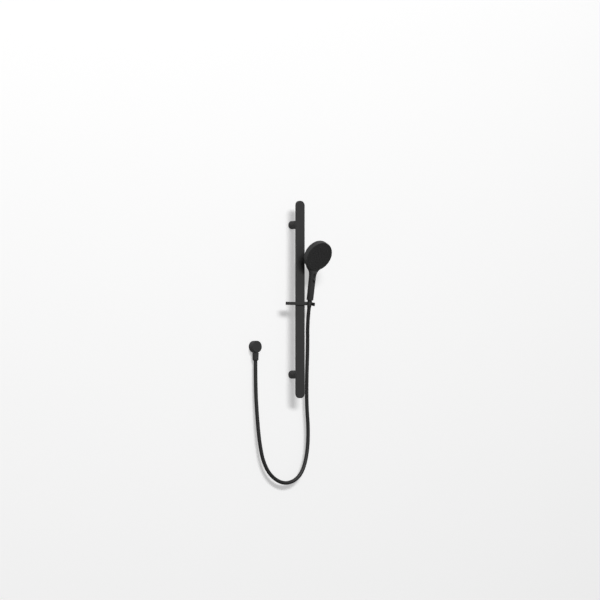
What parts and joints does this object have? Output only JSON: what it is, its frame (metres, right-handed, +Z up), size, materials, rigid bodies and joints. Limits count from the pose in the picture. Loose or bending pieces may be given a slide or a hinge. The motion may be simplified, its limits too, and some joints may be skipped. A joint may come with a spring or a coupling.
{
  "type": "shower slide rail",
  "caption": "Wall-mounted flat shower rail on round posts with a friction slider, tilting cradle, hand shower, hose and wall outlet.",
  "frame": {"origin": "on the wall plane, midway between the two posts' screw holes", "axes": "+Z up along the rail, +Y into the wall, +X to the right seen from the room"},
  "size_m": [0.3235, 0.1476, 1.1359],
  "materials": {
    "rail": "satin charcoal coating",
    "post": "satin charcoal coating",
    "zinc": "plain cast metal",
    "steel": "plain steel",
    "elbow": "satin charcoal coating",
    "brass": "plain brass",
    "seal": "black rubber",
    "valve": "moulded plastic",
    "nut": "satin charcoal coating",
    "hose": "smooth satin black hose",
    "slider": "satin charcoal coating",
    "glide": "black nylon",
    "cradle": "satin charcoal plastic",
    "handset": "satin charcoal plastic",
    "inside": "moulded plastic",
    "face": "dark satin plastic",
    "nozzle": "soft dark silicone",
    "bezel": "near-black plastic",
    "selector": "grey satin plastic"
  },
  "bodies": {
    "wall_rail": {"rail": "rail", "upper_post": "post", "lower_post": "post", "upper_anchor": "zinc", "lower_anchor": "zinc", "upper_grub_screw": "steel", "lower_grub_screw": "steel", "upper_rail_screw": "steel", "lower_rail_screw": "steel", "elbow_body": "elbow", "wall_gasket": "seal", "check_valve": "valve", "elbow_washer": "seal", "elbow_nut": "nut", "elbow_hose_tail": "brass", "hose": "hose"},
    "slider": {"slider_body": "slider", "slider_liner": "glide", "brake_pad": "glide", "brake_cushion": "seal", "pivot_screw": "steel", "friction_washer": "glide"},
    "cradle": {"cradle": "cradle", "handset_nut": "nut", "handset_hose_tail": "brass", "filter_washer": "seal", "inlet_nipple": "brass", "water_tube": "inside", "handset_body": "handset", "distributor": "inside", "nozzle_mat": "nozzle", "spray_plate": "face", "face_ring": "face", "selector_bezel": "bezel"},
    "mode_slider": {"mode_slider": "selector"}
  },
  "joints": [
    {"name": "slider_slide", "type": "slide", "parent": "wall_rail", "child": "slider", "axis": [0, 0, 1], "range_m": [-0.26, 0.294], "deforming": ["hose"]},
    {"name": "cradle_tilt", "type": "hinge", "parent": "slider", "child": "cradle", "pos_m": [0.048, -0.056, -0.017], "axis": [1, 0, 0], "range_deg": [-5, 20], "deforming": ["hose"]},
    {"name": "mode_slide", "type": "slide", "parent": "cradle", "child": "mode_slider", "axis": [0, -0.1736, 0.9848], "range_m": [0, 0.012]}
  ]
}
